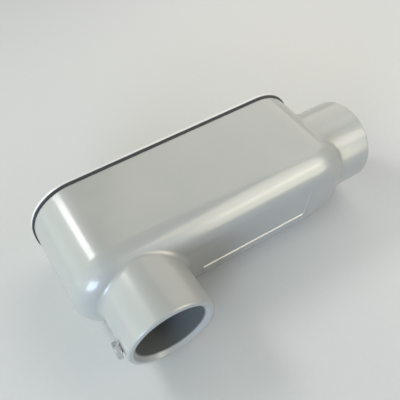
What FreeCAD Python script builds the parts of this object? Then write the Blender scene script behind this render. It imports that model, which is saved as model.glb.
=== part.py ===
# Right-angle conduit body, type LB, for 1-1/4 inch thin-wall conduit, with set-screw hubs.
#
# X runs along the body from its heel to the straight hub, Y runs from the outlet hub to the
# cover, and Z is up: the body lies on one of its flat sides. The origin is on the outlet hub's
# axis, at the shoulder that stops the conduit. XY is the plane of symmetry.

import FreeCAD, Part
import math
import os
import re
import Sketcher
from FreeCAD import Placement, Rotation, Vector

X_AXIS = Vector(1, 0, 0)
Y_AXIS = Vector(0, 1, 0)
Z_AXIS = Vector(0, 0, 1)

# ---------------------------------------------------------------- driving dimensions, in mm

SIZES = {
    # casting
    "body_length": 174.4,
    "body_width": 57.2,
    "body_depth": 60.6,
    "end_radius": 26.3,
    "back_radius": 14.3,
    "wall": 3.0,
    # hubs
    "hub_radius": 24.8,
    "hub_taper": 0.35,
    "hub_root": 20.0,
    "hub_lip": 1.3,
    "hub_fillet": 3.0,
    "outlet_from_heel": 35.8,
    "outlet_reach": 28.7,
    "straight_below_rim": 31.4,
    "straight_reach": 17.9,
    # sockets for the conduit
    "socket_radius": 19.45,
    "socket_depth": 26.0,
    "flare_radius": 22.05,
    "flare_depth": 2.3,
    "throat_radius": 17.3,
    "throat_edge": 1.2,
    "collar_radius": 22.6,
    "collar_ring": 3.6,
    # bosses and holes for the cover screws
    "boss_radius": 4.9,
    "boss_corner": 4.8,
    "heel_boss_depth": 15.0,
    "toe_boss_depth": 10.5,
    "screw_inset": 8.0,
    "screw_hole_depth": 8.0,
    # recessed panel on the back, measured from the heel
    "panel_start": 72.0,
    "panel_end": 143.4,
    "panel_half_height": 10.9,
    "panel_depth": 0.6,
    "panel_corner": 1.5,
    # gasket and cover
    "gasket_thickness": 1.6,
    "gasket_band": 4.2,
    "cover_thickness": 1.8,
    "cover_overhang": 0.9,
    "cover_edge": 0.7,
    "cover_hole_radius": 2.4,
    # cover screws
    "cover_screw_radius": 2.05,
    "cover_screw_length": 9.6,
    "cover_head_radius": 4.0,
    "cover_head_height": 2.5,
    "cover_head_side": 1.1,
    "cover_head_flat": 2.7,
    # set screws
    "set_screw_inset": 7.1,
    "set_screw_radius": 2.38,
    "set_screw_recess": 0.2,
    "set_screw_gap": 0.85,
    "set_screw_point": 0.6,
    "outlet_screw_spin": 15.0,
    "straight_screw_spin": 0.0,
    "hex_flats": 7.9,
    "hex_height": 2.7,
    "hex_chamfer": 0.5,
    # what both kinds of screw share
    "slot_width": 1.1,
    "slot_depth": 1.1,
    "running_clearance": 0.05,
    # how far a cut runs past the solid that it cuts
    "overrun": 1.0,
}

# Places that follow from the driving dimensions.
BACK_Y = "(outlet_reach - socket_depth)"
RIM_Y = "(outlet_reach - socket_depth + body_depth)"
STRAIGHT_Y = "(outlet_reach - socket_depth + body_depth - straight_below_rim)"
HEEL_X = "(0 - outlet_from_heel)"
TOE_X = "(body_length - outlet_from_heel)"
STRAIGHT_MOUTH_X = "(body_length - outlet_from_heel + straight_reach)"
OUTLET_MOUTH_Y = "(0 - socket_depth)"
HALF_WIDTH = "(body_width / 2)"
COVER_Y = "(outlet_reach - socket_depth + body_depth + gasket_thickness)"
HEX_RADIUS = "(hex_flats / 2 / cos(30))"
SET_SCREW_LENGTH = "(hub_radius + set_screw_gap - socket_radius - set_screw_recess)"

# A point this near to a surface, in mm, lies on it. A seam between a taper and a round form is
# only approximate, so it is found with more room.
ON_SURFACE = 1e-3
ON_SEAM = 0.02

# The least change of volume, in mm3, that a working cut or pad makes.
LEAST_CHANGE = 1e-3


# ---------------------------------------------------------------- document helpers

def size_sheet():
    """A spreadsheet with one named dimension to a row."""
    sheet = DOCUMENT.addObject("Spreadsheet::Sheet", "Sizes")
    for row, (name, value) in enumerate(SIZES.items(), 1):
        sheet.set("A%d" % row, name)
        sheet.set("B%d" % row, str(value))
        sheet.setAlias("B%d" % row, name)
    DOCUMENT.recompute()
    return sheet


def size(formula):
    """The value of a formula in the sheet's names."""
    value = SHEET.evalExpression(str(formula))
    return float(getattr(value, "Value", value))


def bind(thing, path, formula):
    """Bind a property or constraint to a formula in the sheet's names."""
    linked = re.sub(r"\b(?!cos\b)[a-z]\w+", r"Sizes.\g<0>", str(formula))
    thing.setExpression(path, linked)


def new_body(label):
    body = DOCUMENT.addObject("PartDesign::Body", label)
    body.Label = label
    return body


def new_sketch(body, name, role, offset="0"):
    """A sketch on one of the body's origin planes, moved along the plane's normal."""
    plane = next(part for part in body.Origin.OriginFeatures if part.Role == role)
    sketch = body.newObject("Sketcher::SketchObject", name)
    sketch.AttachmentSupport = [(plane, "")]
    sketch.MapMode = "FlatFace"
    bind(sketch, ".AttachmentOffset.Base.z", offset)
    return sketch


def cross_section(body, name, y):
    """A sketch across Y at height y: its x is X, its y is Z, and its normal is -Y."""
    return new_sketch(body, name, "XZ_Plane", "0 - %s" % y)


def hold(sketch, kind, *arguments):
    """Add a dimension, whose last argument is a formula, and bind it."""
    *where, formula = arguments
    index = sketch.addConstraint(Sketcher.Constraint(kind, *where, size(formula)))
    name = "d%d" % index
    sketch.renameConstraint(index, name)
    bind(sketch, "Constraints." + name, formula)


def hold_point(sketch, curve, end, x, y):
    """Place a curve's end from the sketch's origin."""
    hold(sketch, "DistanceX", -1, 1, curve, end, x)
    hold(sketch, "DistanceY", -1, 1, curve, end, y)


def draw_circle(sketch, x, y, radius):
    ring = Part.Circle(Vector(size(x), size(y), 0), Z_AXIS, size(radius))
    index = sketch.addGeometry(ring, False)
    hold_point(sketch, index, 3, x, y)
    hold(sketch, "Radius", index, radius)


def draw_polygon(sketch, corners):
    """A closed outline of straight lines through corners given as pairs of formulas."""
    points = [Vector(size(x), size(y), 0) for x, y in corners]
    count = len(points)
    for index, point in enumerate(points):
        sketch.addGeometry(Part.LineSegment(point, points[(index + 1) % count]), False)
    for index in range(count):
        joined = Sketcher.Constraint("Coincident", index, 2, (index + 1) % count, 1)
        sketch.addConstraint(joined)
    for index, (x, y) in enumerate(corners):
        hold_point(sketch, index, 1, x, y)


def quarter(x, y, radius, start):
    """A quarter of a circle that starts at an angle in quarter turns."""
    circle = Part.Circle(Vector(x, y, 0), Z_AXIS, radius)
    turn = math.pi / 2
    return Part.ArcOfCircle(circle, start * turn, (start + 1) * turn)


def draw_rounded_box(sketch, low_x, high_x, half_height, radius):
    """A rectangle with round corners, centred on the sketch's x axis."""
    x0, x1, top, r = size(low_x), size(high_x), size(half_height), size(radius)
    first = sketch.GeometryCount
    curves = [
        Part.LineSegment(Vector(x0 + r, -top, 0), Vector(x1 - r, -top, 0)),
        quarter(x1 - r, r - top, r, 3),
        Part.LineSegment(Vector(x1, r - top, 0), Vector(x1, top - r, 0)),
        quarter(x1 - r, top - r, r, 0),
        Part.LineSegment(Vector(x1 - r, top, 0), Vector(x0 + r, top, 0)),
        quarter(x0 + r, top - r, r, 1),
        Part.LineSegment(Vector(x0, top - r, 0), Vector(x0, r - top, 0)),
        quarter(x0 + r, r - top, r, 2),
    ]
    sketch.addGeometry(curves, False)
    for step in range(8):
        here = first + step
        following = first + (step + 1) % 8
        sketch.addConstraint(Sketcher.Constraint("Tangent", here, 2, following, 1))
    bottom, right, upper, left = first, first + 2, first + 4, first + 6
    sketch.addConstraint(Sketcher.Constraint("Horizontal", bottom))
    sketch.addConstraint(Sketcher.Constraint("Horizontal", upper))
    sketch.addConstraint(Sketcher.Constraint("Vertical", right))
    for corner in (3, 5, 7):
        sketch.addConstraint(Sketcher.Constraint("Equal", first + 1, first + corner))
    hold(sketch, "DistanceX", -1, 1, left, 1, low_x)
    hold(sketch, "DistanceX", -1, 1, right, 1, high_x)
    hold(sketch, "DistanceY", -1, 1, upper, 1, half_height)
    hold(sketch, "DistanceY", bottom, 1, -1, 1, half_height)
    hold(sketch, "Radius", first + 1, radius)


def feature(body, kind, name, sketch, **settings):
    """Add a sketched feature. A formula given for a number is bound."""
    before = body.Shape.Volume if body.Tip else 0.0
    made = body.newObject("PartDesign::" + kind, name)
    made.Profile = sketch
    sketch.Visibility = False
    for setting, value in settings.items():
        if isinstance(value, str) and setting != "Type":
            bind(made, setting, value)
        else:
            setattr(made, setting, value)
    DOCUMENT.recompute()
    change = body.Shape.Volume - before
    if kind in ("Pocket", "Groove"):
        change = -change
    if change < LEAST_CHANGE:
        raise RuntimeError("%s changed nothing: %.3f mm3" % (name, change))
    return made


def dress_edges(body, kind, name, formula, chosen):
    """Fillet or chamfer the edges of the body for which chosen(edge) is true."""
    base = body.Tip
    edges = [
        "Edge%d" % number
        for number, edge in enumerate(base.Shape.Edges, 1)
        if chosen(edge)
    ]
    if not edges:
        raise RuntimeError("%s found no edges" % name)
    made = body.newObject("PartDesign::" + kind, name)
    made.Base = (base, edges)
    bind(made, {"Fillet": "Radius", "Chamfer": "Size"}[kind], formula)
    DOCUMENT.recompute()
    if not made.isValid():
        raise RuntimeError("%s failed on %s" % (name, edges))


def samples(edge, count=9):
    """Points spread along an edge."""
    low, high = edge.ParameterRange
    return [edge.valueAt(low + (high - low) * i / (count - 1)) for i in range(count)]


def lies(edge, test):
    """True if every point sampled on the edge passes the test."""
    return all(test(point) for point in samples(edge))


# ---------------------------------------------------------------- the casting

class Hub:
    """One hub: its mouth, the way into the body and the length outside the body."""

    def __init__(self, name, mouth_x, mouth_y, turn, inward, reach):
        self.name = name
        self.mouth_x = mouth_x
        self.mouth_y = mouth_y
        self.turn = turn
        self.inward = inward
        self.reach = reach
        self.mouth = Vector(size(mouth_x), size(mouth_y), 0)

    def sketch(self, body, name):
        """A sketch in the plane of symmetry whose x runs from the mouth into the body."""
        sketch = new_sketch(body, self.name + "_" + name, "XY_Plane")
        sketch.AttachmentOffset = Placement(Vector(), Rotation(Z_AXIS, self.turn))
        bind(sketch, ".AttachmentOffset.Base.x", self.mouth_x)
        bind(sketch, ".AttachmentOffset.Base.y", self.mouth_y)
        return sketch

    def turned(self, body, kind, name, corners):
        """Revolve or groove a profile about the hub's axis."""
        sketch = self.sketch(body, name + "_profile")
        draw_polygon(sketch, corners)
        axis = (sketch, ["H_Axis"])
        return feature(body, kind, self.name + "_" + name, sketch, ReferenceAxis=axis)

    def radius_of(self, point):
        return point.distanceToLine(self.mouth, self.inward)

    def depth_of(self, point):
        return (point - self.mouth).dot(self.inward)


def make_hubs():
    outlet = Hub("outlet", "0", OUTLET_MOUTH_Y, 90, Y_AXIS, "outlet_reach")
    straight = Hub("straight", STRAIGHT_MOUTH_X, STRAIGHT_Y, 180, -X_AXIS, "straight_reach")
    return outlet, straight


def body_block(body):
    """The box of the body: a plan with round ends, and a back rounded all the way round."""
    plan = cross_section(body, "plan", RIM_Y)
    draw_rounded_box(plan, HEEL_X, TOE_X, HALF_WIDTH, "end_radius")
    feature(body, "Pad", "block", plan, Length="body_depth")
    back = size(BACK_Y)
    dress_edges(body, "Fillet", "rounded_back", "back_radius",
                lambda edge: lies(edge, lambda p: abs(p.y - back) < ON_SURFACE))


def hub_outside(body, hub):
    """The hub's tapered outside, its round lip and the fillet where it meets the body."""
    root = hub.reach + " + hub_root"
    hub.turned(body, "Revolution", "hub", [
        ("0", "0"),
        ("0", "hub_radius"),
        (root, "hub_radius + hub_taper"),
        (root, "0"),
    ])
    mouth_radius = size("hub_radius")
    taper = size("hub_taper") / size(root)
    lip_end = size("hub_lip + overrun")

    def on_mouth(point):
        across = hub.radius_of(point) - mouth_radius
        return abs(hub.depth_of(point)) < ON_SURFACE and abs(across) < ON_SURFACE

    def on_seam(point):
        depth = hub.depth_of(point)
        across = hub.radius_of(point) - mouth_radius - taper * depth
        return depth > lip_end and abs(across) < ON_SEAM

    dress_edges(body, "Fillet", hub.name + "_lip", "hub_lip",
                lambda edge: lies(edge, on_mouth))
    dress_edges(body, "Fillet", hub.name + "_fillet", "hub_fillet",
                lambda edge: lies(edge, on_seam))


def make_core():
    """The core that leaves the wiring chamber: the body's form, one wall thickness inside."""
    core = new_body("chamber_core")
    plan = cross_section(core, "core_plan", RIM_Y)
    draw_rounded_box(plan, HEEL_X + " + wall", TOE_X + " - wall",
                     HALF_WIDTH + " - wall", "end_radius - wall")
    feature(core, "Pad", "core_block", plan, Length="body_depth - wall")
    floor = size(BACK_Y + " + wall")
    dress_edges(core, "Fillet", "core_floor", "back_radius - wall",
                lambda edge: lies(edge, lambda p: abs(p.y - floor) < ON_SURFACE))
    return core


def chamber(body):
    """The wiring chamber, open at the rim, left by the core."""
    core = make_core()
    before = body.Shape.Volume
    cut = body.newObject("PartDesign::Boolean", "chamber")
    cut.Type = "Cut"
    cut.addObject(core)
    DOCUMENT.recompute()
    if body.Shape.Volume > before - LEAST_CHANGE:
        raise RuntimeError("the core cut nothing")


def inner_collar(body, straight):
    """The straight hub's collar, which carries its socket on into the chamber."""
    straight.turned(body, "Revolution", "collar", [
        ("straight_reach + wall / 2", "0"),
        ("straight_reach + wall / 2", "collar_radius"),
        ("socket_depth + collar_ring", "collar_radius"),
        ("socket_depth + collar_ring", "0"),
    ])


def screw_bosses(body):
    """A boss at each end of the chamber, merged with the end wall, for the cover screws."""
    heel = cross_section(body, "heel_boss_plan", RIM_Y)
    draw_rounded_box(heel, HEEL_X + " + wall / 2",
                     HEEL_X + " + screw_inset + boss_radius", "boss_radius",
                     "boss_corner")
    feature(body, "Pad", "heel_boss", heel, Length="heel_boss_depth")
    toe = cross_section(body, "toe_boss_plan", RIM_Y)
    draw_rounded_box(toe, TOE_X + " - screw_inset - boss_radius",
                     TOE_X + " - wall / 2", "boss_radius", "boss_corner")
    feature(body, "Pad", "toe_boss", toe, Length="toe_boss_depth")


def socket(body, hub, through):
    """Flared mouth, bore for the conduit, stop shoulder and throat, turned in one cut."""
    hub.turned(body, "Groove", "socket", [
        ("0", "0"),
        ("0", "flare_radius"),
        ("flare_depth", "socket_radius"),
        ("socket_depth", "socket_radius"),
        ("socket_depth", "throat_radius"),
        (through, "throat_radius"),
        (through, "0"),
    ])
    throat = size("throat_radius")

    def on_throat(point):
        return abs(hub.radius_of(point) - throat) < ON_SURFACE

    dress_edges(body, "Chamfer", hub.name + "_throat_edges", "throat_edge",
                lambda edge: edge.Closed and lies(edge, on_throat))


def tapped_holes(body):
    """Two holes for the cover screws and one in each hub for its set screw."""
    cover = cross_section(body, "cover_hole_plan", RIM_Y)
    radius = "cover_screw_radius + running_clearance"
    draw_circle(cover, HEEL_X + " + screw_inset", "0", radius)
    draw_circle(cover, TOE_X + " - screw_inset", "0", radius)
    feature(body, "Pocket", "cover_holes", cover, Length="screw_hole_depth", Reversed=True)
    radius = "set_screw_radius + running_clearance"
    outlet = new_sketch(body, "outlet_set_hole_plan", "YZ_Plane")
    draw_circle(outlet, OUTLET_MOUTH_Y + " + set_screw_inset", "0", radius)
    feature(body, "Pocket", "outlet_set_hole", outlet, Length="hub_radius + overrun")
    straight = cross_section(body, "straight_set_hole_plan", STRAIGHT_Y)
    draw_circle(straight, STRAIGHT_MOUTH_X + " - set_screw_inset", "0", radius)
    feature(body, "Pocket", "straight_set_hole", straight, Length="hub_radius + overrun")


def back_panel(body):
    """A shallow recess on the back, which the pattern leaves for a mark. It is bare."""
    plan = cross_section(body, "panel_plan", BACK_Y)
    draw_rounded_box(plan, HEEL_X + " + panel_start", HEEL_X + " + panel_end",
                     "panel_half_height", "panel_corner")
    feature(body, "Pocket", "panel", plan, Length="panel_depth")


def make_casting():
    body = new_body("casting")
    outlet, straight = make_hubs()
    body_block(body)
    hub_outside(body, outlet)
    hub_outside(body, straight)
    chamber(body)
    inner_collar(body, straight)
    screw_bosses(body)
    socket(body, outlet, "outlet_reach + wall + overrun")
    socket(body, straight, "socket_depth + collar_ring + overrun")
    tapped_holes(body)
    back_panel(body)
    return body


# ---------------------------------------------------------------- gasket and cover

def make_gasket():
    """A flat seal that follows the rim, with an ear round each cover screw."""
    body = new_body("gasket")
    outside = cross_section(body, "gasket_outline", RIM_Y)
    draw_rounded_box(outside, HEEL_X, TOE_X, HALF_WIDTH, "end_radius")
    feature(body, "Pad", "gasket_sheet", outside, Length="gasket_thickness", Reversed=True)
    inside = cross_section(body, "gasket_window", RIM_Y)
    draw_rounded_box(inside, HEEL_X + " + gasket_band", TOE_X + " - gasket_band",
                     HALF_WIDTH + " - gasket_band", "end_radius - gasket_band")
    feature(body, "Pocket", "gasket_open", inside, Length="gasket_thickness")
    ears = cross_section(body, "gasket_ear_plan", RIM_Y)
    draw_rounded_box(ears, HEEL_X + " + wall / 2",
                     HEEL_X + " + screw_inset + boss_radius", "boss_radius",
                     "boss_corner")
    draw_rounded_box(ears, TOE_X + " - screw_inset - boss_radius", TOE_X + " - wall / 2",
                     "boss_radius", "boss_corner")
    feature(body, "Pad", "gasket_ears", ears, Length="gasket_thickness", Reversed=True)
    holes = cross_section(body, "gasket_hole_plan", RIM_Y)
    draw_circle(holes, HEEL_X + " + screw_inset", "0", "cover_hole_radius")
    draw_circle(holes, TOE_X + " - screw_inset", "0", "cover_hole_radius")
    feature(body, "Pocket", "gasket_holes", holes, Length="gasket_thickness")
    return body


def make_cover():
    """A flat plate that overhangs the rim a little, with rounded outer edges."""
    body = new_body("cover_plate")
    outside = cross_section(body, "cover_outline", COVER_Y)
    draw_rounded_box(outside, HEEL_X + " - cover_overhang", TOE_X + " + cover_overhang",
                     HALF_WIDTH + " + cover_overhang", "end_radius + cover_overhang")
    feature(body, "Pad", "plate", outside, Length="cover_thickness", Reversed=True)
    top = size(COVER_Y + " + cover_thickness")
    dress_edges(body, "Fillet", "plate_edge", "cover_edge",
                lambda edge: lies(edge, lambda p: abs(p.y - top) < ON_SURFACE))
    holes = cross_section(body, "cover_hole_plan", COVER_Y)
    draw_circle(holes, HEEL_X + " + screw_inset", "0", "cover_hole_radius")
    draw_circle(holes, TOE_X + " - screw_inset", "0", "cover_hole_radius")
    feature(body, "Pocket", "plate_holes", holes, Length="cover_thickness")
    return body


# ---------------------------------------------------------------- screws

def cut_slot(body, top):
    """A screwdriver slot across the head, down from its top."""
    sketch = new_sketch(body, "slot_plan", "XY_Plane", top)
    half = "(" + HEX_RADIUS + " + overrun)"
    draw_polygon(sketch, [
        ("0 - " + half, "0 - slot_width / 2"),
        (half, "0 - slot_width / 2"),
        (half, "slot_width / 2"),
        ("0 - " + half, "slot_width / 2"),
    ])
    feature(body, "Pocket", "slot", sketch, Length="slot_depth")


def place(body, x, y, turn_axis, spin="0"):
    """Lay a screw made along Z over, so that its head faces out, and move it to its seat."""
    spun = Rotation(Z_AXIS, size(spin))
    body.Placement = Placement(Vector(), Rotation(turn_axis, -90) * spun)
    bind(body, ".Placement.Base.x", x)
    bind(body, ".Placement.Base.y", y)
    DOCUMENT.recompute()


def make_cover_screw(label, x):
    """A slotted machine screw, turned about Z with its bevelled head above z = 0."""
    body = new_body(label)
    profile = new_sketch(body, "screw_profile", "XZ_Plane")
    draw_polygon(profile, [
        ("0", "0 - cover_screw_length"),
        ("cover_screw_radius", "0 - cover_screw_length"),
        ("cover_screw_radius", "0"),
        ("cover_head_radius", "0"),
        ("cover_head_radius", "cover_head_side"),
        ("cover_head_flat", "cover_head_height"),
        ("0", "cover_head_height"),
    ])
    feature(body, "Revolution", "turned_screw", profile, ReferenceAxis=(profile, ["V_Axis"]))
    cut_slot(body, "cover_head_height")
    place(body, x, COVER_Y + " + cover_thickness", X_AXIS)
    return body


def make_set_screw(label, x, y, turn_axis, spin):
    """A slotted hex-head set screw along Z, head above z = 0 and shank below."""
    body = new_body(label)
    hexagon = new_sketch(body, "hexagon", "XY_Plane")
    half = "hex_flats / 2"
    side = "(hex_flats / 4 / cos(30))"
    draw_polygon(hexagon, [
        (HEX_RADIUS, "0"),
        (side, half),
        ("0 - " + side, half),
        ("0 - " + HEX_RADIUS, "0"),
        ("0 - " + side, "0 - " + half),
        (side, "0 - " + half),
    ])
    feature(body, "Pad", "head", hexagon, Length="hex_height")
    corners = new_sketch(body, "corner_profile", "XZ_Plane")
    draw_polygon(corners, [
        (half, "hex_height"),
        (HEX_RADIUS + " + overrun", "hex_height"),
        (HEX_RADIUS + " + overrun", "hex_height - hex_chamfer"),
        (HEX_RADIUS, "hex_height - hex_chamfer"),
    ])
    feature(body, "Groove", "round_corners", corners, ReferenceAxis=(corners, ["V_Axis"]))
    shank = new_sketch(body, "shank_profile", "XZ_Plane")
    draw_polygon(shank, [
        ("0", "0 - " + SET_SCREW_LENGTH),
        ("set_screw_radius - set_screw_point", "0 - " + SET_SCREW_LENGTH),
        ("set_screw_radius", "set_screw_point - " + SET_SCREW_LENGTH),
        ("set_screw_radius", "hex_height / 2"),
        ("0", "hex_height / 2"),
    ])
    feature(body, "Revolution", "shank", shank, ReferenceAxis=(shank, ["V_Axis"]))
    cut_slot(body, "hex_height")
    place(body, x, y, turn_axis, spin)
    return body


# ---------------------------------------------------------------- the model

def check(parts):
    """Stop if any object failed or any sub-part has no valid solid."""
    for thing in DOCUMENT.Objects:
        if "Invalid" in thing.State or "Error" in thing.State:
            raise RuntimeError("%s is %s" % (thing.Label, thing.State))
    for part in parts:
        shape = part.Shape
        if shape.isNull() or not shape.isValid() or len(shape.Solids) != 1:
            raise RuntimeError("%s has no single valid solid" % part.Label)
        box = shape.BoundBox
        print("%-20s %9.1f mm3  X %6.1f %6.1f  Y %6.1f %6.1f  Z %6.1f %6.1f" % (
            part.Label, shape.Volume, box.XMin, box.XMax, box.YMin, box.YMax,
            box.ZMin, box.ZMax))


def make_parts():
    outlet_seat_x = "0 - hub_radius - set_screw_gap"
    outlet_seat_y = OUTLET_MOUTH_Y + " + set_screw_inset"
    straight_seat_x = STRAIGHT_MOUTH_X + " - set_screw_inset"
    straight_seat_y = STRAIGHT_Y + " + hub_radius + set_screw_gap"
    return [
        make_casting(),
        make_gasket(),
        make_cover(),
        make_cover_screw("cover_screw_heel", HEEL_X + " + screw_inset"),
        make_cover_screw("cover_screw_toe", TOE_X + " - screw_inset"),
        make_set_screw("set_screw_outlet", outlet_seat_x, outlet_seat_y, Y_AXIS,
                       "outlet_screw_spin"),
        make_set_screw("set_screw_straight", straight_seat_x, straight_seat_y, X_AXIS,
                       "straight_screw_spin"),
    ]


DOCUMENT = FreeCAD.newDocument("conduit_body")
SHEET = size_sheet()
PARTS = make_parts()
check(PARTS)
os.makedirs("parts", exist_ok=True)
for part in PARTS:
    part.Shape.exportStep("parts/%s.step" % part.Label)
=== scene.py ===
# %% [markdown]
# # A cast conduit body, painted and put together
# A conduit body is the elbow of an electrical conduit run: a long cast box with a
# hub at its heel, a hub at its toe and a screwed cover, so that wires can be pulled
# round the corner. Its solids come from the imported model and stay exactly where
# they are. This lesson gives them their finishes, puts screws with real threads in
# place of the four plain ones, adds the gasket's bead and the slope round the back
# panel, and sets up a table-top studio round the piece.

# %% Load the frame
import math

import bmesh
import bpy
from mathutils import Matrix, Vector


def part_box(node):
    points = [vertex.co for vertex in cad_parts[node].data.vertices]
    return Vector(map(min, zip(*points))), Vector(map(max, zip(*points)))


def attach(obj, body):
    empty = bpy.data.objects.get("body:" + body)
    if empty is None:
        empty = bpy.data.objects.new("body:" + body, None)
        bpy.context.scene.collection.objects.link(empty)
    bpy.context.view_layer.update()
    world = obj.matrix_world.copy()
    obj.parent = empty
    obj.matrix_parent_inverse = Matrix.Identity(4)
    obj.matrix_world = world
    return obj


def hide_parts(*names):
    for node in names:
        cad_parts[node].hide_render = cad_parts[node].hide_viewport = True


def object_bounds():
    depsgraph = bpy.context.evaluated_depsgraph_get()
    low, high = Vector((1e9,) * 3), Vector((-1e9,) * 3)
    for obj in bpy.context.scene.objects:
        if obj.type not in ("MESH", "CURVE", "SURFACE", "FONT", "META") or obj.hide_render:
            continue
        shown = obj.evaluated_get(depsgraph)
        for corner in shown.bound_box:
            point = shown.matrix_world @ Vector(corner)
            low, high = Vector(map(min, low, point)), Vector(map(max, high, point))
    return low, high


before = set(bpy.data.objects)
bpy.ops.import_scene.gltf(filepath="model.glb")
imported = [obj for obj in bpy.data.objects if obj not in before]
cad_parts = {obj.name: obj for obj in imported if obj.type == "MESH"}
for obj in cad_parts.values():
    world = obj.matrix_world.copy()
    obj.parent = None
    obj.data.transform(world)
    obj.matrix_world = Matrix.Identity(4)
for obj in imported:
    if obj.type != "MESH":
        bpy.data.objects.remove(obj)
cad_low, cad_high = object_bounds()
MM = 0.001
print("conduit body, mm:", [round(side / MM, 1) for side in cad_high - cad_low])

# %% [markdown]
# ## Colours and nodes
# Paint makers quote colours as sRGB hex values, but Blender's shaders work in
# linear light, so one function turns the first into the second. A second function
# adds one shader node with its settings and links, so that each finish below reads
# as a list of what it is made of. A node group would hide the settings, and nodes
# wired by hand would take five lines each.

# %% Helpers for colours and nodes
def paint_chip(code, alpha=1.0):
    """An sRGB hex value as linear red, green, blue and alpha."""
    parts = [int(code[i : i + 2], 16) / 255 for i in (0, 2, 4)]
    linear = [c / 12.92 if c <= 0.04045 else ((c + 0.055) / 1.055) ** 2.4 for c in parts]
    return (*linear, alpha)


def node(tree, kind, settings=None, **inputs):
    """Adds one node. Settings are its own, and inputs are values or other sockets.

    An input goes by its name, or by its number, such as i0, where names repeat.
    """
    made = tree.nodes.new(kind)
    for name, value in (settings or {}).items():
        setattr(made, name, value)
    for name, value in inputs.items():
        numbered = name[0] == "i" and name[1:].isdigit()
        socket = made.inputs[int(name[1:]) if numbered else name.replace("_", " ")]
        if isinstance(value, bpy.types.NodeSocket):
            tree.links.new(value, socket)
        else:
            socket.default_value = value
    return made


def finish_named(name):
    """A new material and its empty node tree."""
    material = bpy.data.materials.new(name)
    material.use_nodes = True
    material.node_tree.nodes.clear()
    return material, material.node_tree


print("enamel grey in linear light:", [round(c, 3) for c in paint_chip("BDBDB6")])

# %% [markdown]
# ## The camera
# The view looks down on the piece from beyond its heel hub, as someone would look
# at a fitting lying on a bench: the heel hub's mouth, the outside of both hubs, the
# long side and the back are in sight, and the edge of the cover shows as a line
# along the top. The camera has a place and three angles in degrees. A target to
# look at would give two of the angles, but not the slight roll of a camera held in
# the hand.

# %% Camera
EYE = Vector((-41.45, -102.18, 213.22)) * MM
LEAN, ROLL, HEADING = 34.62, 2.875, -29.9
FOCAL_LENGTH, SENSOR_WIDTH = 41.69, 36.0
SHIFT_RIGHT, SHIFT_UP = 0.1111, 0.0810

lens = bpy.data.cameras.new("bench_camera")
lens.lens = FOCAL_LENGTH
lens.sensor_width = SENSOR_WIDTH
lens.shift_x = SHIFT_RIGHT
lens.shift_y = SHIFT_UP
lens.clip_start = 0.01
lens.clip_end = 10.0
camera = bpy.data.objects.new("bench_camera", lens)
bpy.context.scene.collection.objects.link(camera)
camera.location = EYE
camera.rotation_euler = [math.radians(angle) for angle in (LEAN, ROLL, HEADING)]
bpy.context.scene.camera = camera
print("camera stands", round(EYE.length / MM), "mm from the heel hub")

# %% [markdown]
# ## Baked enamel
# The casting and the cover are sprayed with a light grey enamel and baked. The
# paint is glossy and a little warm in tone. It dries with a fine orange peel, about
# 2 mm from bump to bump, and the metal below it is never quite flat, so long
# highlights wander slightly. A plain grey with one roughness would look like
# plastic, so the finish has both waves in its bump, a faint change of tone and a
# few dust nibs.

# %% Enamel maker
CLOUD, GLOSS_PATCH, DUST_SPACING = 28 * MM, 9 * MM, 9 * MM
WAVE, WAVE_HEIGHT = 16 * MM, 0.12 * MM
PEEL, PEEL_HEIGHT = 2.0 * MM, 0.018 * MM
NIB_HEIGHT = 0.05 * MM
GLOSSY, LESS_GLOSSY = 0.32, 0.37


def enamel(name, chip, chip_thin):
    """Baked enamel: orange peel over casting waves, with a slight change of tone."""
    material, tree = finish_named(name)
    where = node(tree, "ShaderNodeTexCoord").outputs["Object"]
    cloud = node(tree, "ShaderNodeTexNoise", Vector=where, Scale=1 / CLOUD, Detail=3)
    thick = node(tree, "ShaderNodeMapRange", Value=cloud.outputs["Fac"], From_Min=0.3, From_Max=0.7)
    colour = node(tree, "ShaderNodeMix", {"data_type": "RGBA"}, i0=thick.outputs["Result"],
                  i6=paint_chip(chip_thin), i7=paint_chip(chip))
    patch = node(tree, "ShaderNodeTexNoise", Vector=where, Scale=1 / GLOSS_PATCH, Detail=2)
    matt = node(tree, "ShaderNodeMapRange", Value=patch.outputs["Fac"], From_Min=0.3,
                From_Max=0.7, To_Min=GLOSSY, To_Max=LESS_GLOSSY)
    wave = node(tree, "ShaderNodeTexNoise", Vector=where, Scale=1 / WAVE, Detail=1)
    casting = node(tree, "ShaderNodeBump", Height=wave.outputs["Fac"], Strength=0.5,
                   Distance=WAVE_HEIGHT)
    ripple = node(tree, "ShaderNodeTexNoise", Vector=where, Scale=1 / PEEL, Detail=2)
    peel = node(tree, "ShaderNodeBump", Height=ripple.outputs["Fac"], Strength=0.5,
                Distance=PEEL_HEIGHT, Normal=casting.outputs["Normal"])
    specks = node(tree, "ShaderNodeTexVoronoi", Vector=where, Scale=1 / DUST_SPACING)
    nib = node(tree, "ShaderNodeMapRange", Value=specks.outputs["Distance"], From_Min=0.0,
               From_Max=0.05, To_Min=1.0, To_Max=0.0)
    nibs = node(tree, "ShaderNodeBump", Height=nib.outputs["Result"], Strength=0.6,
                Distance=NIB_HEIGHT, Normal=peel.outputs["Normal"])
    return (material, tree, where, colour.outputs["Result"], matt.outputs["Result"],
            nibs.outputs["Normal"])


def spray(tree, colour, matt, normal):
    """The glossy top of the enamel, and the end of its node tree."""
    shader = node(tree, "ShaderNodeBsdfPrincipled", Base_Color=colour, Roughness=matt, IOR=1.55,
                  Normal=normal, Coat_Weight=0.6, Coat_Roughness=0.12, Coat_Normal=normal)
    node(tree, "ShaderNodeOutputMaterial", Surface=shader.outputs["BSDF"])


print("orange peel, mm:", PEEL / MM)

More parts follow.
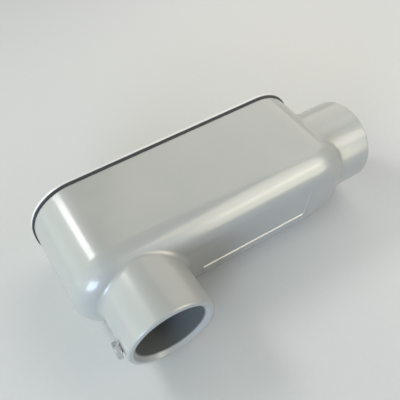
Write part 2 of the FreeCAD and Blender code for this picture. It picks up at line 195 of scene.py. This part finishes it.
# %% [markdown]
# ## Darker and duller inside the sockets
# Inside the sockets the casting is painted darker and given a duller roughness, so
# that the hollows read dark. The dark is in the colour, not made by the lamps.
# Painted images, vertex colours or distances worked out in the shader could mark
# the sockets off from the rest. The last needs no unwrapping: each socket is a
# distance from its hub's axis. The toe hub's axis also runs through the heel, so its
# mask starts past the middle of the body.

# %% Casting finish
ACROSS_OUTLET = (1.0, 0.0, 1.0)
ACROSS_STRAIGHT = (0.0, 1.0, 1.0)
STRAIGHT_HEIGHT = 31.9 * MM
SOCKET_RADIUS = 19.45 * MM
DARK_PAST_WALL, DARK_FADE = 0.35 * MM, 0.25 * MM
PAST_MIDDLE = 60 * MM
DARK_ROUGHNESS = 0.62


def in_socket(tree, where, across, centre):
    """1 inside a round hole along one axis, and 0 outside it."""
    level = node(tree, "ShaderNodeVectorMath", {"operation": "SUBTRACT"}, i0=where, i1=centre)
    flat = node(tree, "ShaderNodeVectorMath", {"operation": "MULTIPLY"},
                i0=level.outputs["Vector"], i1=across)
    reach = node(tree, "ShaderNodeVectorMath", {"operation": "LENGTH"}, i0=flat.outputs["Vector"])
    edge = SOCKET_RADIUS + DARK_PAST_WALL
    return node(tree, "ShaderNodeMapRange", Value=reach.outputs["Value"], From_Min=edge,
                From_Max=edge + DARK_FADE, To_Min=1.0, To_Max=0.0).outputs["Result"]


casting_finish, tree, where, colour, matt, normal = enamel(
    "baked_enamel_on_cast_aluminium", "BDBDB6", "B7B8B2")
outlet = in_socket(tree, where, ACROSS_OUTLET, (0, 0, 0))
straight = in_socket(tree, where, ACROSS_STRAIGHT, (0, STRAIGHT_HEIGHT, 0))
along = node(tree, "ShaderNodeSeparateXYZ", Vector=where)
toe_end = node(tree, "ShaderNodeMapRange", Value=along.outputs["X"], From_Min=PAST_MIDDLE,
               From_Max=PAST_MIDDLE + MM)
straight = node(tree, "ShaderNodeMath", {"operation": "MULTIPLY"}, i0=straight,
                i1=toe_end.outputs["Result"])
# Painted darkening: inside the sockets the colour turns darker and the roughness duller.
darker_in_sockets = node(tree, "ShaderNodeMath", {"operation": "MAXIMUM"}, i0=outlet,
            i1=straight.outputs["Value"]).outputs["Value"]
colour = node(tree, "ShaderNodeMix", {"data_type": "RGBA"}, i0=darker_in_sockets, i6=colour,
              i7=paint_chip("666A68")).outputs["Result"]
matt = node(tree, "ShaderNodeMix", i0=darker_in_sockets, i2=matt, i3=DARK_ROUGHNESS).outputs["Result"]
spray(tree, colour, matt, normal)
print("casting:", casting_finish.name)

# %% [markdown]
# ## The cover's edge, painted as a highlight
# The cover is a sheet with the same enamel. Its cut edge catches the light as a thin,
# almost white line, and that highlight is painted in: the edge faces get a near-white
# colour. A second material on the edge faces would do it, but the sheet's two broad
# sides are the only faces that look along y, so the shader can tell the edge by its
# normal alone.

# %% Cover finish
cover_finish, tree, where, colour, matt, normal = enamel(
    "baked_enamel_on_sheet_cover", "C6C7C1", "C0C1BC")
facing = node(tree, "ShaderNodeSeparateXYZ", Vector=where.node.outputs["Normal"])
flatness = node(tree, "ShaderNodeMath", {"operation": "ABSOLUTE"}, i0=facing.outputs["Y"])
# Painted highlight: faces that don't look along y get a near-white colour.
edge = node(tree, "ShaderNodeMapRange", Value=flatness.outputs["Value"], From_Min=0.5,
            From_Max=0.9, To_Min=1.0, To_Max=0.0)
colour = node(tree, "ShaderNodeMix", {"data_type": "RGBA"}, i0=edge.outputs["Result"], i6=colour,
              i7=paint_chip("F6F6F2")).outputs["Result"]
spray(tree, colour, matt, normal)
print("cover:", cover_finish.name)

# %% [markdown]
# ## Black gasket rubber
# The gasket is a die-cut sheet of black neoprene. Its cut edge is matt and very
# dark, with a trace of talc from the roll it was cut from. Roughness carries most
# of the look, so the colour only moves between two near-blacks. Talc and grain are
# finer than this on real sheet, and are drawn this coarse so that they show.

# %% Gasket rubber
TALC, GRAIN, GRAIN_HEIGHT = 1.2 * MM, 0.5 * MM, 0.03 * MM

gasket_finish, tree = finish_named("die_cut_neoprene")
where = node(tree, "ShaderNodeTexCoord").outputs["Object"]
dust = node(tree, "ShaderNodeTexNoise", Vector=where, Scale=1 / TALC, Detail=4, Roughness=0.6)
talc = node(tree, "ShaderNodeMapRange", Value=dust.outputs["Fac"], From_Min=0.45, From_Max=0.75)
dark = node(tree, "ShaderNodeMix", {"data_type": "RGBA"}, i0=talc.outputs["Result"],
            i6=paint_chip("26262A"), i7=paint_chip("3A3836"))
pores = node(tree, "ShaderNodeTexNoise", Vector=where, Scale=1 / GRAIN, Detail=2)
grain = node(tree, "ShaderNodeBump", Height=pores.outputs["Fac"], Strength=0.5,
             Distance=GRAIN_HEIGHT)
rubber = node(tree, "ShaderNodeBsdfPrincipled", Base_Color=dark.outputs["Result"],
              Roughness=0.72, IOR=1.52, Normal=grain.outputs["Normal"])
node(tree, "ShaderNodeOutputMaterial", Surface=rubber.outputs["BSDF"])
print("gasket:", gasket_finish.name)

# %% [markdown]
# ## Bright zinc on steel screws
# The screws are steel with a bright zinc plate under a clear blue-white passivate.
# The plate is a real metal surface, so it is fully metallic, pale and slightly
# cool, with small marks left by tumbling in the plating barrel. Real marks are finer
# than 0.8 mm, and are drawn this coarse so that they show on heads this small.

# %% Zinc plate
TUMBLE_MARK, TINT_PATCH, DENT_DEPTH = 0.8 * MM, 3 * MM, 0.02 * MM

zinc_finish, tree = finish_named("bright_zinc_plated_steel")
where = node(tree, "ShaderNodeTexCoord").outputs["Object"]
tumble = node(tree, "ShaderNodeTexNoise", Vector=where, Scale=1 / TUMBLE_MARK, Detail=5,
              Roughness=0.6)
marks = node(tree, "ShaderNodeMapRange", Value=tumble.outputs["Fac"],
             From_Min=0.3, From_Max=0.7, To_Min=0.14, To_Max=0.3)
passivate = node(tree, "ShaderNodeTexNoise", Vector=where, Scale=1 / TINT_PATCH, Detail=2)
tint = node(tree, "ShaderNodeMix", {"data_type": "RGBA"}, i0=passivate.outputs["Fac"],
            i6=paint_chip("C6CBD0"), i7=paint_chip("DADAD6"))
dents = node(tree, "ShaderNodeBump", Height=tumble.outputs["Fac"], Strength=0.4,
             Distance=DENT_DEPTH)
plate = node(tree, "ShaderNodeBsdfPrincipled", Base_Color=tint.outputs["Result"], Metallic=1.0,
             Roughness=marks.outputs["Result"], Normal=dents.outputs["Normal"])
node(tree, "ShaderNodeOutputMaterial", Surface=plate.outputs["BSDF"])
print("screws:", zinc_finish.name)

# %% [markdown]
# ## Dressing the solids
# The casting, the gasket and the cover keep their own meshes, and only their
# material slots change. Copies of them would look the same, but then two meshes
# would have to stay in step.

# %% Assign the finishes
DRESS = {
    "casting": casting_finish,
    "gasket": gasket_finish,
    "cover_plate": cover_finish,
}
for name, finish in DRESS.items():
    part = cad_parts[name]
    part.data.materials.clear()
    part.data.materials.append(finish)
print("dressed:", ", ".join(DRESS))

# %% [markdown]
# ## Solids from rings
# A screw is turned and rolled round one axis. Its head could be a cylinder with
# modifiers, or be spun from half of its section. The second gives a bevelled head
# and a hexagon with the same few numbers, because a section spun in six steps is a
# hexagon.

# %% Spinning a solid
WELD = 0.001 * MM


def piece_from(name, points, faces):
    """A mesh object from points and faces, with its faces turned outwards."""
    mesh = bpy.data.meshes.new(name)
    mesh.from_pydata(points, [], faces)
    form = bmesh.new()
    form.from_mesh(mesh)
    bmesh.ops.remove_doubles(form, verts=form.verts, dist=WELD)
    bmesh.ops.recalc_face_normals(form, faces=form.faces)
    form.to_mesh(mesh)
    form.free()
    piece = bpy.data.objects.new(name, mesh)
    bpy.context.scene.collection.objects.link(piece)
    return piece


def skin(rings):
    """Faces between rings of points that follow each other, with both ends closed."""
    count = len(rings[0])
    points = [point for ring in rings for point in ring]
    faces = [list(range(count)), [len(points) - 1 - i for i in range(count)]]
    for low in range(0, len(points) - count, count):
        for i in range(count):
            after = (i + 1) % count
            faces.append([low + i, low + after, low + count + after, low + count + i])
    return points, faces


def ring(radius, height, sides):
    """Points round the z axis."""
    turn = 2 * math.pi / sides
    return [Vector((radius * math.cos(i * turn), radius * math.sin(i * turn), height))
            for i in range(sides)]


def spun(name, section, sides):
    """A solid spun from a section of (radius, height) pairs."""
    return piece_from(name, *skin([ring(radius, height, sides) for radius, height in section]))


print("points closer than", WELD / MM, "mm are welded")

# %% [markdown]
# ## Slots and threads
# A slot is milled across the head, so a box is cut away from it. The rolled thread
# is a rounded ridge that winds round the shank, so each ring of points moves in and
# out with its own turn and height. A helix swept along its path would also work,
# but it would still have to be joined to the shank.

# %% Slot and thread
SLOT = 1.1 * MM
THREAD_DEPTH, THREAD_PITCH = 0.32 * MM, 0.8 * MM
THREAD_SIDES, RINGS_A_TURN = 40, 8
POINT_LENGTH, POINT_TAPER = 0.6 * MM, 0.25 * MM


def applied(piece):
    """The piece with its modifiers made part of its mesh."""
    graph = bpy.context.evaluated_depsgraph_get()
    result = bpy.data.meshes.new_from_object(piece.evaluated_get(graph))
    piece.modifiers.clear()
    piece.data = result
    return piece


def shaped(piece, tool, operation):
    """The piece cut by a tool, or the part that both share. The tool is used up."""
    cut = piece.modifiers.new("cut", "BOOLEAN")
    cut.object = tool
    cut.operation = operation
    cut.solver = "EXACT"
    applied(piece)
    bpy.data.objects.remove(tool)
    return piece


def slotted(head, reach, top):
    """The head with a screwdriver slot across it."""
    low, high = top - SLOT, top + SLOT
    half = SLOT / 2
    floor_points = [(-reach, -half, low), (reach, -half, low), (reach, half, low), (-reach, half, low)]
    roof_points = [(x, y, high) for x, y, z in floor_points]
    return shaped(head, piece_from("slot_cutter", *skin([floor_points, roof_points])), "DIFFERENCE")


def thread(name, radius, tip, top):
    """A shank from tip to top with a rolled thread, cut away to a point at its tip."""
    steps = round((top - tip) / (THREAD_PITCH / RINGS_A_TURN))
    rings = []
    for step in range(steps + 1):
        height = tip + (top - tip) * step / steps
        taper = min(1.0, (height - tip) / POINT_LENGTH)
        row = []
        for i, point in enumerate(ring(1.0, height, THREAD_SIDES)):
            turn = height / THREAD_PITCH - i / THREAD_SIDES
            wound = 0.5 + 0.5 * math.cos(2 * math.pi * turn)
            reach = radius - THREAD_DEPTH * (1 - wound * taper) - POINT_TAPER * (1 - taper)
            row.append((point.x * reach, point.y * reach, height))
        rings.append(row)
    return piece_from(name, *skin(rings))


print("thread pitch, mm:", THREAD_PITCH / MM)

# %% [markdown]
# ## Joining head and shank
# Tumbling in the plating barrel rounds every edge of a head a little, and that thin
# rounded edge is what catches the light. The head gets it from a bevel, and then takes the shank into one
# mesh, so that the screw moves as one thing.

# %% Finished screw
BROKEN_EDGE, EDGE_STEPS = 0.14 * MM, 3
BEVELLED_FROM, SHARP_FROM = math.radians(25), math.radians(35)
SHANK_OVERLAP = 0.3 * MM


def finished_screw(name, head, shank, lay, seat, body):
    """Joins head and shank, softens the edges and puts the screw on its seat."""
    soft = head.modifiers.new("plated_edges", "BEVEL")
    soft.width = BROKEN_EDGE
    soft.segments = EDGE_STEPS
    soft.limit_method = "ANGLE"
    soft.angle_limit = BEVELLED_FROM
    applied(head)
    form = bmesh.new()
    form.from_mesh(head.data)
    form.from_mesh(shank.data)
    form.transform(Matrix.Translation(seat) @ lay)
    for face in form.faces:
        face.smooth = True
    mesh = bpy.data.meshes.new(name)
    form.to_mesh(mesh)
    form.free()
    mesh.set_sharp_from_angle(angle=SHARP_FROM)
    bpy.data.objects.remove(head)
    bpy.data.objects.remove(shank)
    screw = bpy.data.objects.new(name, mesh)
    bpy.context.scene.collection.objects.link(screw)
    screw.data.materials.append(zinc_finish)
    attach(screw, body)
    return screw


print("edges broken by, mm:", BROKEN_EDGE / MM)

# %% [markdown]
# ## The two clamp screws
# Each hub holds its conduit with one slotted hexagon screw, so that a wrench or a
# driver turns it. Its corners are rounded off where the bar was faced. A head spun in
# six steps has sharp corners up to its top, so a cone spun in many steps takes them off.

# %% Clamp screws
HEX_FLATS, HEX_HEIGHT, CLAMP_RADIUS = 7.9 * MM, 2.7 * MM, 2.38 * MM
HEX_SIDES, FACING_SIDES = 6, 48
FACED_DOWN = 0.9 * MM
# name: body, axis that lays the screw down, turn about its own length, way out
CLAMP_SCREWS = {
    "set_screw_outlet": ("outlet_clamp", "Y", 15.0, Vector((-1, 0, 0))),
    "set_screw_straight": ("straight_clamp", "X", 0.0, Vector((0, 1, 0))),
}
corner = HEX_FLATS / 2 / math.cos(math.pi / HEX_SIDES)
for name, (body, axis, spin, outwards) in CLAMP_SCREWS.items():
    low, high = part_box(name)
    middle, size = (low + high) / 2, high - low
    length = abs(size.dot(outwards))
    seat = middle + outwards * (length / 2 - HEX_HEIGHT)
    head = spun("head", [(corner, 0), (corner, HEX_HEIGHT)], HEX_SIDES)
    faced = spun("facing", [(corner + MM, -MM), (corner + MM, HEX_HEIGHT - FACED_DOWN),
                            (HEX_FLATS / 2, HEX_HEIGHT), (HEX_FLATS / 2, HEX_HEIGHT + MM)],
                 FACING_SIDES)
    head = slotted(shaped(head, faced, "INTERSECT"), corner + MM, HEX_HEIGHT)
    shank = thread("shank", CLAMP_RADIUS, HEX_HEIGHT - length, SHANK_OVERLAP)
    lay = Matrix.Rotation(math.radians(-90), 4, axis) @ Matrix.Rotation(math.radians(spin), 4, "Z")
    screw = finished_screw("threaded_" + name, head, shank, lay, seat, body)
    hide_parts(name)
    print(screw.name, "faces:", len(screw.data.polygons))

# %% [markdown]
# ## The two cover screws
# The cover is held by two slotted machine screws with low bevelled heads. They are
# turned from bar like the clamp screws, so the same makers shape them.

# %% Cover screws
HEAD_RADIUS, HEAD_SIDE, HEAD_FLAT = 4.0 * MM, 1.1 * MM, 2.7 * MM
HEAD_HEIGHT, COVER_SCREW_RADIUS = 2.5 * MM, 2.05 * MM
HEAD_STEPS = 64
lay = Matrix.Rotation(math.radians(-90), 4, "X")
for name in ("cover_screw_heel", "cover_screw_toe"):
    low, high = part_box(name)
    middle = (low + high) / 2
    seat = Vector((middle.x, high.y - HEAD_HEIGHT, middle.z))
    section = [(HEAD_RADIUS, 0), (HEAD_RADIUS, HEAD_SIDE), (HEAD_FLAT, HEAD_HEIGHT)]
    head = slotted(spun("head", section, HEAD_STEPS), HEAD_RADIUS + MM, HEAD_HEIGHT)
    shank = thread("shank", COVER_SCREW_RADIUS, low.y - seat.y, SHANK_OVERLAP)
    screw = finished_screw("threaded_" + name, head, shank, lay, seat, "body")
    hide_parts(name)
    print(screw.name, "faces:", len(screw.data.polygons))

# %% [markdown]
# ## Bands round an outline
# Two thin forms run right round a box with round corners: the gasket's bead and the
# slope of the back panel. Both are a small section carried round an outline. A curve
# with a bevel object would carry it too, but then each section would be one more
# object to draw.

# %% Band maker
def outline(low, high, radius, grown, steps):
    """Points round a box with round corners, in the plane of x and z."""
    centres = [(high.x - radius, high.z - radius, 0), (low.x + radius, high.z - radius, 90),
               (low.x + radius, low.z + radius, 180), (high.x - radius, low.z + radius, 270)]
    points = []
    for x, z, start in centres:
        for step in range(steps + 1):
            angle = math.radians(start + 90 * step / steps)
            points.append(Vector((x + (radius + grown) * math.cos(angle), 0,
                                  z + (radius + grown) * math.sin(angle))))
    return points


def carried_round(low, high, radius, steps, section):
    """One row of points round the outline for each (growth, height) of a section."""
    return [[point + Vector((0, height, 0)) for point in outline(low, high, radius, grown, steps)]
            for grown, height in section]


def edging(name, rows, finish):
    """A closed band whose section is a loop, one row of points for each corner of it."""
    count = len(rows[0])
    points = [point for row in rows for point in row]
    faces = []
    for r in range(len(rows)):
        above = (r + 1) % len(rows)
        for i in range(count):
            after = (i + 1) % count
            faces.append([r * count + i, r * count + after, above * count + after, above * count + i])
    band = piece_from(name, points, faces)
    band.data.materials.append(finish)
    for face in band.data.polygons:
        face.use_smooth = True
    band.data.set_sharp_from_angle(angle=SHARP_FROM)
    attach(band, "body")
    return band


print("bands stay sharp from", round(math.degrees(SHARP_FROM)), "degrees")

# %% [markdown]
# ## The gasket's squeezed edge
# Under the cover's pressure the soft gasket swells out past the rim, so a rounded
# black bead shows all round below the cover's overhang. The bead is flat where it
# meets rim and cover, and full in the middle, so its growth follows a cosine that
# is raised to a power below one.

# %% Gasket bead
END_RADIUS, SWELL, BITE = 26.3 * MM, 0.82 * MM, 0.4 * MM
BEAD_ROWS, BEAD_STEPS, FULLNESS = 13, 24, 0.6
CLEAR = 0.01 * MM
gasket_low, gasket_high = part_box("gasket")
half_height = (gasket_high.y - gasket_low.y) / 2 - CLEAR
section = []
for row in range(BEAD_ROWS):
    angle = math.radians(-90 + 180 * row / (BEAD_ROWS - 1))
    grown = SWELL * max(0.0, math.cos(angle)) ** FULLNESS
    section.append((grown, gasket_low.y + CLEAR + half_height * (1 + math.sin(angle))))
section += [(-BITE, gasket_high.y - CLEAR), (-BITE, gasket_low.y + CLEAR)]
rows = carried_round(gasket_low, gasket_high, END_RADIUS, BEAD_STEPS, section)
bead = edging("gasket_bead", rows, gasket_finish)
print(bead.name, "faces:", len(bead.data.polygons))

# %% [markdown]
# ## The panel's sloping sides
# A recess cast in a mould has sides that slope, so that the pattern lifts out. The
# slope catches the light as a thin bright line round the panel, which a bevel on the
# whole casting would also put on every other edge. A narrow wedge round the inside
# of the recess changes nothing else.

# %% Panel wedge
PANEL_START, PANEL_END, PANEL_HALF = 72.0 * MM, 143.4 * MM, 10.9 * MM
PANEL_DEPTH, PANEL_CORNER, PANEL_SLOPE = 0.6 * MM, 1.5 * MM, math.radians(40)
BACK_Y, CORNER_STEPS = 2.7 * MM, 8
casting_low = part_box("casting")[0]
panel_low = Vector((casting_low.x + PANEL_START, 0, -PANEL_HALF))
panel_high = Vector((casting_low.x + PANEL_END, 0, PANEL_HALF))
foot = BACK_Y + PANEL_DEPTH + CLEAR
wedge = [(CLEAR, BACK_Y + CLEAR), (-PANEL_DEPTH * math.tan(PANEL_SLOPE), foot), (CLEAR, foot)]
rows = carried_round(panel_low, panel_high, PANEL_CORNER, CORNER_STEPS, wedge)
slope = edging("panel_slope", rows, casting_finish)
print(slope.name, "faces:", len(slope.data.polygons))

# %% [markdown]
# ## Paper floor
# A pale sheet of paper lies under the piece. Further out it fades to the plain pale
# tone of the backdrop, so that no edge or pool of light shows from low down. A bent
# sheet would hide the edge as well, but only from one side. The paper looks pale but
# gives back less scattered light than a pale sheet would, so that the underside of
# the piece keeps its shade. Real fibres are too fine to show, so they are drawn as
# soft lumps 3 mm across.

# %% Floor
BACKDROP = ("F0F2F4", 0.68)
PAPER_SIDE, FADES_FROM, FADES_TO = 4.0, 0.22, 0.65
FIBRE = 3 * MM


def seen_directly(tree):
    """1 for rays from the camera, from a shine or through glass, and 0 for scattered light."""
    ray = node(tree, "ShaderNodeLightPath").outputs
    first = node(tree, "ShaderNodeMath", {"operation": "MAXIMUM"}, i0=ray["Is Camera Ray"],
                 i1=ray["Is Glossy Ray"])
    return node(tree, "ShaderNodeMath", {"operation": "MAXIMUM"}, i0=first.outputs["Value"],
                i1=ray["Is Transmission Ray"]).outputs["Value"]


bpy.ops.mesh.primitive_plane_add(size=PAPER_SIDE, location=(0, 0, cad_low.z))
floor = bpy.context.object
floor.name = "paper_floor"
paper, tree = finish_named("pale_paper")
where = node(tree, "ShaderNodeTexCoord").outputs["Object"]
pulp = node(tree, "ShaderNodeTexNoise", Vector=where, Scale=1 / FIBRE, Detail=2)
fibre = node(tree, "ShaderNodeMix", {"data_type": "RGBA"}, i0=pulp.outputs["Fac"],
             i6=paint_chip("E6E6E4"), i7=paint_chip("EAEAE8"))
look = node(tree, "ShaderNodeMix", {"data_type": "RGBA"}, i0=seen_directly(tree),
            i6=paint_chip("9C9C9C"), i7=fibre.outputs["Result"])
sheet = node(tree, "ShaderNodeBsdfPrincipled", Base_Color=look.outputs["Result"], Roughness=0.9)
centre = ((cad_low.x + cad_high.x) / 2, (cad_low.y + cad_high.y) / 2, 0)
away = node(tree, "ShaderNodeVectorMath", {"operation": "DISTANCE"}, i0=where, i1=centre)
far = node(tree, "ShaderNodeMapRange", Value=away.outputs["Value"], From_Min=FADES_FROM,
           From_Max=FADES_TO)
fade = node(tree, "ShaderNodeMath", {"operation": "MULTIPLY"}, i0=far.outputs["Result"],
            i1=seen_directly(tree))
glow = node(tree, "ShaderNodeEmission", Color=paint_chip(BACKDROP[0]), Strength=BACKDROP[1])
sweep = node(tree, "ShaderNodeMixShader", i0=fade.outputs["Value"], i1=sheet.outputs["BSDF"],
             i2=glow.outputs["Emission"])
node(tree, "ShaderNodeOutputMaterial", Surface=sweep.outputs["Shader"])
floor.data.materials.append(paper)
print("floor at z =", round(cad_low.z / MM, 2), "mm")

# %% [markdown]
# ## Studio lamps
# Soft lamps stand round the piece. Each is given by the direction it shines from,
# so that one highlight is easy to move: the tube draws the long streak down the heel
# and the window lights its corner. The two cards light only what shines, as a way to
# lay a warm band along the back edge without washing out the painted sides. A real
# card would light both.

# %% Lamps
HEEL = Vector((-18, 40, 27)) * MM
CORNER = Vector((-24, 8, 19)) * MM
MIDDLE = Vector((50, 30, 0)) * MM
TOE = Vector((130, 15, 0)) * MM
# name: point it aims at, direction it stands in, distance, width and height in metres,
# roll in degrees, radiance, tint, what it reaches
LAMPS = {
    "cream_card": (MIDDLE, (0.52, -0.82, 0.26), 0.62, 0.32, 0.42, 0, 3.8, "FFF8D0", "gloss"),
    "high_card": (MIDDLE, (0.50, -0.55, 0.70), 0.66, 0.40, 0.46, 0, 3.6, "FFF2DA", "gloss"),
    "tube": (HEEL, (-0.42, 0.55, 0.675), 0.80, 0.20, 0.22, -45, 12.0, "FFFFFF", "all"),
    "window": (CORNER, (-0.76, -0.62, 0.12), 0.80, 0.36, 0.36, 0, 12.0, "CCE2FF", "all"),
    "left_card": (MIDDLE, (-0.90, 0.05, 0.45), 0.60, 1.00, 0.75, 0, 1.1, "F8FFF4", "all"),
    "warm_key": (TOE, (0.72, -0.25, 0.62), 0.45, 0.50, 0.50, 0, 0.6, "F6FFE8", "all"),
    "toe_window": (TOE, (0.50, 0.55, 0.66), 0.40, 0.46, 0.46, 0, 1.2, "FFF9F4", "all"),
    "toe_fill": (TOE, (0.45, -0.80, 0.42), 0.42, 0.40, 0.34, 0, 1.1, "F4F0FF", "all"),
}


def stand_lamp(name, aim, direction, distance, width, height, roll, radiance, tint_code, reach):
    """A rectangular lamp that shines on a point from a direction."""
    lamp = bpy.data.lights.new(name, "AREA")
    lamp.shape = "RECTANGLE"
    lamp.size = width
    lamp.size_y = height
    lamp.energy = radiance * width * height * math.pi
    lamp.color = paint_chip(tint_code)[:3]
    stand = bpy.data.objects.new(name, lamp)
    out = Vector(direction).normalized()
    stand.location = aim + out * distance
    stand.rotation_mode = "QUATERNION"
    turned = Matrix.Rotation(math.radians(roll), 4, "Z").to_quaternion()
    stand.rotation_quaternion = (-out).to_track_quat("-Z", "Y") @ turned
    stand.visible_camera = False
    stand.visible_diffuse = reach == "all"
    bpy.context.scene.collection.objects.link(stand)


for name, set_up in LAMPS.items():
    stand_lamp(name, *set_up)
print("lamps:", ", ".join(LAMPS))

# %% [markdown]
# ## Studio air
# Light that comes from no lamp fills the shade a little, and the room beyond the
# paper shows as the same plain tone that the paper fades to. One colour for both
# would either wash out the shade or turn the horizon dark, so they are two, and
# the kind of ray chooses between them.

# %% World
AMBIENT = ("F2F8FF", 0.06)

world = bpy.data.worlds.new("studio_air")
world.use_nodes = True
tree = world.node_tree
tree.nodes.clear()
air = node(tree, "ShaderNodeBackground", Color=paint_chip(AMBIENT[0]), Strength=AMBIENT[1])
room = node(tree, "ShaderNodeBackground", Color=paint_chip(BACKDROP[0]), Strength=BACKDROP[1])
sky = node(tree, "ShaderNodeMixShader", i0=seen_directly(tree), i1=air.outputs["Background"],
           i2=room.outputs["Background"])
node(tree, "ShaderNodeOutputWorld", Surface=sky.outputs["Shader"])
bpy.context.scene.world = world
bpy.context.scene.view_settings.view_transform = "Standard"
print("ambient strength:", AMBIENT[1])
